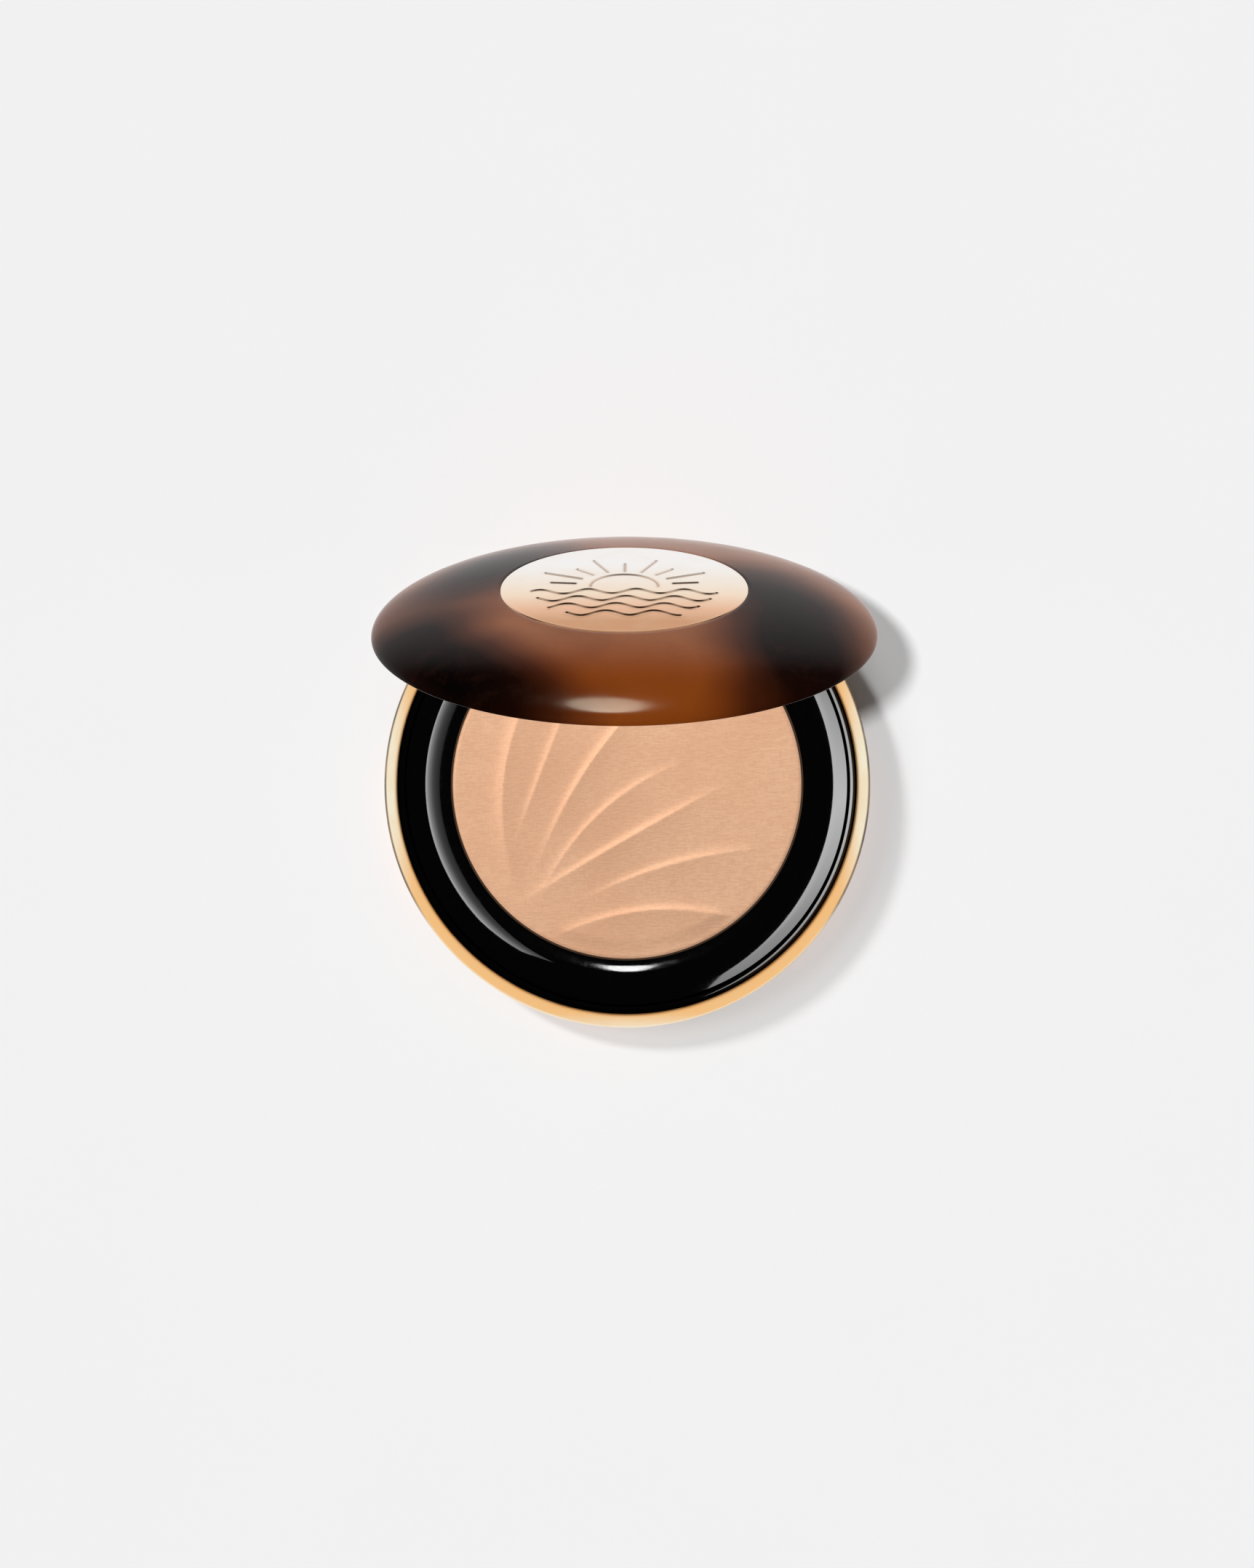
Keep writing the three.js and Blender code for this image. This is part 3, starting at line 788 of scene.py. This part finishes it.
def sun_and_waves():
    """The medallion's own pattern, as polylines in millimetres: a half sun over four waves."""
    low = 0.4
    strokes = [[(5.2 * math.cos(a), low + 5.2 * math.sin(a)) for a in np.linspace(0, math.pi, 48)]]
    rays = 9
    for k in range(rays):
        a = math.pi * (k + 0.5) / rays
        reach = 12.6 if k % 2 else 10.2
        strokes.append([(r * math.cos(a) * 1.12, low + r * math.sin(a))
                        for r in np.linspace(6.8, reach, 12)])
    for k in range(4):
        half = (14.2, 13.2, 11.4, 8.6)[k]
        strokes.append([(x, low - 2.3 - 3.1 * k + 0.95 * math.sin(x * 0.85 + 1.3 * k))
                        for x in np.linspace(-half, half, 110)])
    return strokes


def stroke_distance(x, y, strokes):
    """How far each point is from the nearest stroke."""
    best = np.full(x.shape, 1e9)
    for stroke in strokes:
        for (x0, y0), (x1, y1) in zip(stroke, stroke[1:]):
            dx, dy = x1 - x0, y1 - y0
            t = np.clip(((x - x0) * dx + (y - y0) * dy) / (dx * dx + dy * dy), 0, 1)
            best = np.minimum(best, (x - x0 - t * dx) ** 2 + (y - y0 - t * dy) ** 2)
    return np.sqrt(best)


MEDALLION_GRID = 400


def make_medallion():
    """A slightly crowned disc with a beaded edge and engraved lines. The point attribute
    engraved is 1 in the lines, for the paint."""
    rim_z = LID_Z + dome_height(MEDALLION_R)

    def top(x, y):
        radius = np.hypot(x, y)
        crown = 0.35 * (1 - (radius / MEDALLION_R) ** 2)
        gap = stroke_distance(x, y, sun_and_waves())
        groove = -0.12 * np.exp(-(gap / 0.3) ** 2) + 0.05 * np.exp(-((gap - 0.62) / 0.2) ** 2)
        bead = 0.05 * np.exp(-((radius - MEDALLION_R + 0.25) / 0.2) ** 2)
        drop = -0.06 * np.clip((radius - MEDALLION_R + 0.08) / 0.08, 0, 1) ** 2
        return rim_z + crown + groove + bead + drop

    low = LID_Z + MEDALLION_SEAT + 0.5
    piece = relief_disc("lid_medallion_fine", MEDALLION_R, top,
                        [[MEDALLION_R, rim_z - 0.25], [MEDALLION_R, low]], MEDALLION_GRID)
    x, y = disc_grid(MEDALLION_GRID)
    gap = stroke_distance(x * MEDALLION_R, y * MEDALLION_R, sun_and_waves())
    depth = np.zeros(len(piece.data.vertices))
    depth[:gap.size] = np.exp(-(gap / 0.27) ** 2).ravel()
    engraved = piece.data.attributes.new("engraved", "FLOAT", "POINT")
    engraved.data.foreach_set("value", depth)
    fit(piece, "lid", "lid_medallion", medallion_gold())


def make_lid_liner(black):
    """The frame inside the lid, with the mirror's recess and the middle hinge barrel."""
    low = LID_Z - 0.85
    recess = MIRROR_R + 0.35
    front = rounded([[0, LID_Z + 1.75], [recess, LID_Z + 1.75], [recess, LID_Z],
                     [34, LID_Z], [34.9, low], [LINER_R, low], [LINER_R, LID_Z - 0.1],
                     [35.6, LID_Z + 0.85], [33.6, LID_Z + 1.5], [30.5, LID_Z + 2.3],
                     [29, LID_Z + 2.5], [0, LID_Z + 2.5]],
                    [0, 0.1, 0.2, 0.5, 0.35, 0.2, 0, 0, 0, 0, 0, 0])
    liner = turned("lid_liner_fine", front)
    for side in (-1, 1):
        ends = sorted((side * (KNUCKLE_IN - 0.15), side * NOTCH_HALF))
        cut(liner, rod("clearance", BARREL_R + HINGE_PLAY, *ends, edge=0))
    join(liner, rod("barrel", BARREL_R, -BARREL_HALF, BARREL_HALF))
    cut(liner, rod("bore", PIN_HOLE_R, -WIDE, WIDE, edge=0))
    fit(liner, "lid", "lid_liner", black)


def make_mirror():
    """The round mirror with a bevelled front edge."""
    face, back = LID_Z + 0.2, LID_Z + 1.35
    glass = turned("mirror_fine", rounded([[0, face], [MIRROR_R, face], [MIRROR_R, back],
                                           [0, back]], [0, 0.35, 0.1, 0]))
    fit(glass, "lid", "mirror", silvered_glass())


def finish_inner_parts():
    """CAD parts that stay as they are, hidden inside or nearly so."""
    steel = metal("plain_steel", (0.56, 0.57, 0.58), 0.3, (1, 1, 8))
    glue = film("glue_film", (0.62, 0.60, 0.55))
    for name, part in frame["nodes"].items():
        if part.hide_render:
            continue
        part.data.materials.clear()
        part.data.materials.append(glue if "tape" in name or "adhesive" in name else steel)


make_bottom_shell()
make_gold_band()
gloss = gloss_black()
make_housing(gloss)
make_bezel(gloss)
make_powder()
make_lid_shell()
make_medallion()
make_lid_liner(gloss)
make_mirror()
finish_inner_parts()


# ---- stage: floor, studio light and camera ----


def make_floor():
    """A pale table top. In gloss it fades out away from the compact."""
    paint = Paint("floor_paint", Roughness=0.6)
    paint.shader.inputs["Specular IOR Level"].default_value = 0
    speck = paint.noise(paint.place, 30, detail=3)
    pale = paint.mix(speck, (0.90, 0.90, 0.905), (0.89, 0.89, 0.895))
    away = paint.add("ShaderNodeVectorMath", operation="LENGTH")
    paint.wire(paint.place, away.inputs[0])
    mirrored = paint.add("ShaderNodeLightPath").outputs["Is Glossy Ray"]
    lost = paint.maths("MULTIPLY", mirrored, paint.span(away.outputs["Value"], 0.10, 0.30))
    paint.colour(paint.mix(lost, pale, (0, 0, 0)))
    bm = bmesh.new()
    bmesh.ops.create_circle(bm, cap_ends=True, segments=96, radius=6)
    floor = from_bmesh("floor", bm)
    floor.data.materials.append(paint.material)
    return floor


def light_group(name, members):
    """A collection that only says which pieces a light reaches or is blocked by."""
    group = bpy.data.collections.new(name)
    for member in members:
        group.objects.link(member)
    return group


def panel(name, place, aim, size, radiance, only, shade=None, shape="RECTANGLE",
          diffuse=True, glossy=True, fade=None, tint=(1, 1, 1)):
    """A soft light of a given radiance. only: what it lights; shade: what may block it;
    fade: stops of (height share, brightness) from its lower to its upper edge."""
    light = bpy.data.lights.new(name, "AREA")
    light.shape = shape
    light.size, light.size_y = size
    area = size[0] * size[1] * (math.pi / 4 if shape == "ELLIPSE" else 1)
    light.energy = radiance * math.pi * area
    light.color = tint
    piece = bpy.data.objects.new(name, light)
    bpy.context.scene.collection.objects.link(piece)
    direction = (Vector(place) - Vector(aim)).normalized()
    piece.rotation_euler = direction.to_track_quat("Z", "Y").to_euler()
    piece.location = place
    piece.visible_diffuse = diffuse
    piece.visible_glossy = glossy
    piece.visible_camera = False
    piece.light_linking.receiver_collection = only
    if shade:
        piece.light_linking.blocker_collection = shade
    if fade:
        light.use_nodes = True
        nodes, links = light.node_tree.nodes, light.node_tree.links
        parts = nodes.new("ShaderNodeSeparateXYZ")
        links.new(nodes.new("ShaderNodeTexCoord").outputs["UV"], parts.inputs[0])
        ramp = nodes.new("ShaderNodeValToRGB")
        fill_ramp(ramp, [(at, grey(value)) for at, value in fade])
        links.new(parts.outputs["Y"], ramp.inputs["Fac"])
        links.new(ramp.outputs["Color"], nodes["Emission"].inputs["Color"])


def sun(name, direction, level, spread, only, shade):
    """An even light over the whole table; level is what it adds to a white surface."""
    light = bpy.data.lights.new(name, "SUN")
    direction = Vector(direction).normalized()
    light.energy = level * math.pi / direction.z
    light.angle = math.radians(spread)
    piece = bpy.data.objects.new(name, light)
    bpy.context.scene.collection.objects.link(piece)
    piece.rotation_euler = direction.to_track_quat("Z", "Y").to_euler()
    piece.visible_glossy = False
    piece.light_linking.receiver_collection = only
    piece.light_linking.blocker_collection = shade


def from_angles(azimuth, elevation, distance=1.2):
    """A point seen from the compact at these angles in degrees; azimuth 90 is behind it."""
    a, e = math.radians(azimuth), math.radians(elevation)
    return (distance * math.cos(e) * math.cos(a), distance * math.cos(e) * math.sin(a),
            distance * math.sin(e))


def glowing(name, bm, receivers, strength, stops):
    """Turns a mesh into a light that only the receivers mirror. stops: (height in metres,
    brightness)."""
    piece = from_bmesh(name, bm)
    top = stops[-1][0]
    material = bpy.data.materials.new(name + "_glow")
    material.use_nodes = True
    material.cycles.emission_sampling = "NONE"
    nodes, links = material.node_tree.nodes, material.node_tree.links
    nodes.clear()
    parts = nodes.new("ShaderNodeSeparateXYZ")
    links.new(nodes.new("ShaderNodeTexCoord").outputs["Object"], parts.inputs[0])
    share = nodes.new("ShaderNodeMath")
    share.operation = "DIVIDE"
    share.inputs[1].default_value = top
    links.new(parts.outputs["Z"], share.inputs[0])
    ramp = nodes.new("ShaderNodeValToRGB")
    fill_ramp(ramp, [(height / top, grey(value)) for height, value in stops])
    links.new(share.outputs[0], ramp.inputs["Fac"])
    glow = nodes.new("ShaderNodeEmission")
    glow.inputs["Strength"].default_value = strength
    links.new(ramp.outputs["Color"], glow.inputs["Color"])
    links.new(glow.outputs[0], nodes.new("ShaderNodeOutputMaterial").inputs["Surface"])
    piece.data.materials.append(material)
    piece.visible_camera = False
    piece.visible_diffuse = False
    piece.visible_shadow = False
    piece.light_linking.receiver_collection = receivers


def make_curved_window(receivers):
    """A tall curved window to the right, brightest at its sill and narrowing towards the
    back."""
    radius, steps = 1.03, 60
    sill = ((-40, 0.45), (45, 0.45), (60, 0.53), (69, 0.74))
    head = ((-40, 1.27), (30, 1.25), (60, 0.84), (69, 0.75))
    bm = bmesh.new()
    rows = []
    for azimuth in np.linspace(sill[0][0], sill[-1][0], steps):
        a = math.radians(azimuth)
        low, high = (float(np.interp(azimuth, *zip(*edge))) for edge in (sill, head))
        rows.append([bm.verts.new((radius * math.cos(a), radius * math.sin(a), z))
                     for z in (low, high)])
    for (a, b), (c, d) in zip(rows, rows[1:]):
        bm.faces.new([a, c, d, b])
    glowing("curved_window", bm, receivers, 6.5,
            ((0.45, 1.0), (0.49, 0.88), (0.53, 0.60), (0.58, 0.42), (0.67, 0.20),
             (0.81, 0.115), (1.2, 0.05)))


def make_sky(receivers):
    """A soft bright dome that only the mirror, the medallion and the band reflect."""
    radius = 2.4
    bm = bmesh.new()
    bmesh.ops.create_uvsphere(bm, u_segments=64, v_segments=32, radius=radius)
    below = [v for v in bm.verts if v.co.z < -MM]
    bmesh.ops.delete(bm, geom=below, context="VERTS")
    glowing("sky_dome", bm, receivers, 1.0,
            ((0.0, 0.85), (0.6, 0.75), (1.5, 0.45), (radius, 0.30)))


def make_lights(floor):
    """Table light, light on the compact, and cards that only its gloss shows."""
    middle = (0, 0, 0.01)
    shown = {n: p for n, p in list(frame["nodes"].items()) + list(pieces.items())
             if not p.hide_render}
    lid = [p for n, p in shown.items() if "lid" in n or "mirror" in n or "medallion" in n]
    base = [p for p in shown.values() if p not in lid]
    floor_group = light_group("floor_only", [floor])
    base_group = light_group("base_only", base)
    lid_group = light_group("lid_only", lid)
    whole = light_group("whole_compact", base + lid)
    gloss_group = light_group("black_trim", [pieces["bezel_ring"], pieces["inner_housing"]])
    shell_group = light_group("lid_outside", [pieces["lid_shell"]])
    powder_group = light_group("powder_only", [pieces["pressed_powder"]])

    # the table's light: soft suns, so base and lid drop their shadow side by side
    sun("table_base", from_angles(147, 42.4), 0.235, 8, floor_group, base_group)
    sun("table_side", from_angles(176, 48), 0.11, 25, floor_group, base_group)
    sun("table_lid", from_angles(180, 81), 0.54, 3.5, floor_group, lid_group)

    # the compact's light
    panel("overhead", from_angles(130, 72, 1.5), middle, (1.0, 1.0), 3.6, whole, base_group,
          glossy=False)
    panel("rake", from_angles(128, 26), middle, (0.2, 0.2), 104, powder_group, powder_group,
          glossy=False)

    # cards that show only as gloss
    panel("right_card", (0.435, 0, 1.01), (0.435, 0, 0), (0.45, 1.16), 9.0, gloss_group,
          base_group, diffuse=False,
          fade=[(0, 0.36), (0.25, 0.56), (0.5, 1), (0.75, 0.56), (1, 0.36)])
    make_curved_window(gloss_group)
    make_sky(light_group("sky_mirrors", [pieces[n] for n in
                                     ("mirror", "lid_medallion", "gold_band")]))
    panel("back_card", (-0.012, 0.19, 1.01), (-0.012, 0.19, 0), (0.040, 0.085), 18,
          gloss_group, base_group, "ELLIPSE", diffuse=False)
    panel("lid_card", from_angles(94, 24, 1.0), (0, 0.01, 0.07), (0.28, 0.50), 85,
          shell_group, shape="ELLIPSE", diffuse=False, tint=(1, 0.94, 0.74),
          fade=[(0, 0.5), (0.55, 0.75), (0.85, 1)])
    for piece in lid:
        piece.visible_glossy = False    # the black trim mirrors the cards, not the lid


def make_world():
    """Pale to the eye, an even soft fill, and dark where the gloss would mirror it."""
    world = bpy.data.worlds.new("studio")
    bpy.context.scene.world = world
    world.use_nodes = True
    nodes, links = world.node_tree.nodes, world.node_tree.links
    path = nodes.new("ShaderNodeLightPath")

    def strength_for(ray, value):
        pick = nodes.new("ShaderNodeMix")
        links.new(path.outputs[ray], pick.inputs["Factor"])
        pick.inputs["B"].default_value = value
        return pick

    seen = strength_for("Is Camera Ray", 0.86)
    seen.inputs["A"].default_value = 0.10
    mirrored = strength_for("Is Glossy Ray", 0.004)
    links.new(seen.outputs["Result"], mirrored.inputs["A"])
    links.new(mirrored.outputs["Result"], nodes["Background"].inputs["Strength"])
    nodes["Background"].inputs["Color"].default_value = (1, 1, 1, 1)


def make_camera():
    """Almost straight above, a touch towards the user and the right, from 0.9 m."""
    distance, elevation, yaw = 0.9, math.radians(88), math.radians(0.65)
    view_height = 250.7 * MM
    target = Vector((0, 0, 0.0089))
    back = Vector((math.sin(yaw), -math.cos(elevation), 0))
    back.z = math.sqrt(1 - back.length_squared)
    up = (Vector((0, 1, 0)) - back * back.y).normalized()
    right = up.cross(back)
    lens = bpy.data.cameras.new("camera")
    lens.sensor_width = 36
    lens.lens = lens.sensor_width * distance / view_height
    lens.clip_start = 0.01
    camera = bpy.data.objects.new("camera", lens)
    bpy.context.scene.collection.objects.link(camera)
    camera.matrix_world = Matrix.Translation(target + back * distance) @ Matrix(
        (right, up, back)).transposed().to_4x4()
    bpy.context.scene.camera = camera


make_lights(make_floor())
make_world()
make_camera()
bpy.context.scene.view_settings.view_transform = "Standard"
